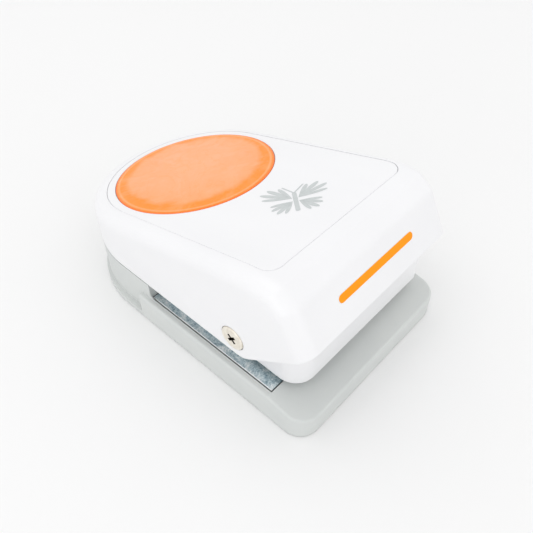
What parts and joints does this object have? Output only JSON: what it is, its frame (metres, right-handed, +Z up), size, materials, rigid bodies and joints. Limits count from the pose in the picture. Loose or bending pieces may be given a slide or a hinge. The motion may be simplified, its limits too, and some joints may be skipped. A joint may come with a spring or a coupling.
{
  "type": "lever paper punch",
  "caption": "Desk-top lever paper punch: flat base with a steel die, head over a paper slot, and a sloping white lever with an oval orange palm pad.",
  "frame": {"origin": "centre of the footprint, on the floor plane under the rubber feet", "axes": "+Z up; -Y towards the open nose where paper goes in; +X across the width, to the right when the nose faces the viewer"},
  "size_m": [0.08, 0.1284, 0.0606],
  "materials": {
    "grey_plastic": "satin",
    "white_plastic": "gloss",
    "orange_pad": "satin, pearly",
    "galvanised_steel": "mottled zinc",
    "tool_steel": "ground",
    "nickel_screws": "nickel plated",
    "spring_steel": "drawn wire",
    "nylon": "matt",
    "black_rubber": "matt"
  },
  "bodies": {
    "base": {"base": "grey_plastic", "rubber_feet": "black_rubber", "die_plate": "galvanised_steel", "die_screws": "nickel_screws", "throat_spacer": "galvanised_steel", "guide_plate": "galvanised_steel", "frame_rivets": "nickel_screws", "frame_cheeks": "galvanised_steel", "cheek_screws": "nickel_screws", "pivot_bushes": "nylon", "guide_pins": "tool_steel", "return_springs": "spring_steel", "head_cover": "white_plastic", "head_screws": "nickel_screws"},
    "punch": {"punch": "tool_steel", "punch_carrier": "galvanised_steel", "punch_screws": "nickel_screws"},
    "lever": {"lever_shell": "white_plastic", "top_panel": "white_plastic", "palm_pad": "orange_pad", "panel_screws": "nickel_screws", "press_bracket": "galvanised_steel", "bracket_screws": "nickel_screws", "roller_pin": "tool_steel", "pivot_pin": "tool_steel", "pivot_screws": "nickel_screws"},
    "roller": {"press_roller": "nylon"},
    "latch": {"storage_latch": "grey_plastic"}
  },
  "joints": [
    {"name": "lever_hinge", "type": "hinge", "parent": "base", "child": "lever", "pos_m": [0, -0.0319, 0.027], "axis": [1, 0, 0], "range_deg": [0, 17]},
    {"name": "punch_slide", "type": "slide", "parent": "base", "child": "punch", "axis": [0, 0, 1], "range_m": [0, 0.0075], "deforming": ["return_springs"]},
    {"name": "roller_spin", "type": "hinge", "parent": "lever", "child": "roller", "pos_m": [0, -0.0062, 0.02895], "axis": [1, 0, 0], "continuous": true},
    {"name": "latch_slide", "type": "slide", "parent": "base", "child": "latch", "axis": [1, 0, 0], "range_m": [0, 0.006]}
  ],
  "couplings": [
    {"joint": "punch_slide", "follows": "lever_hinge", "m_per_rad": 0.025}
  ]
}
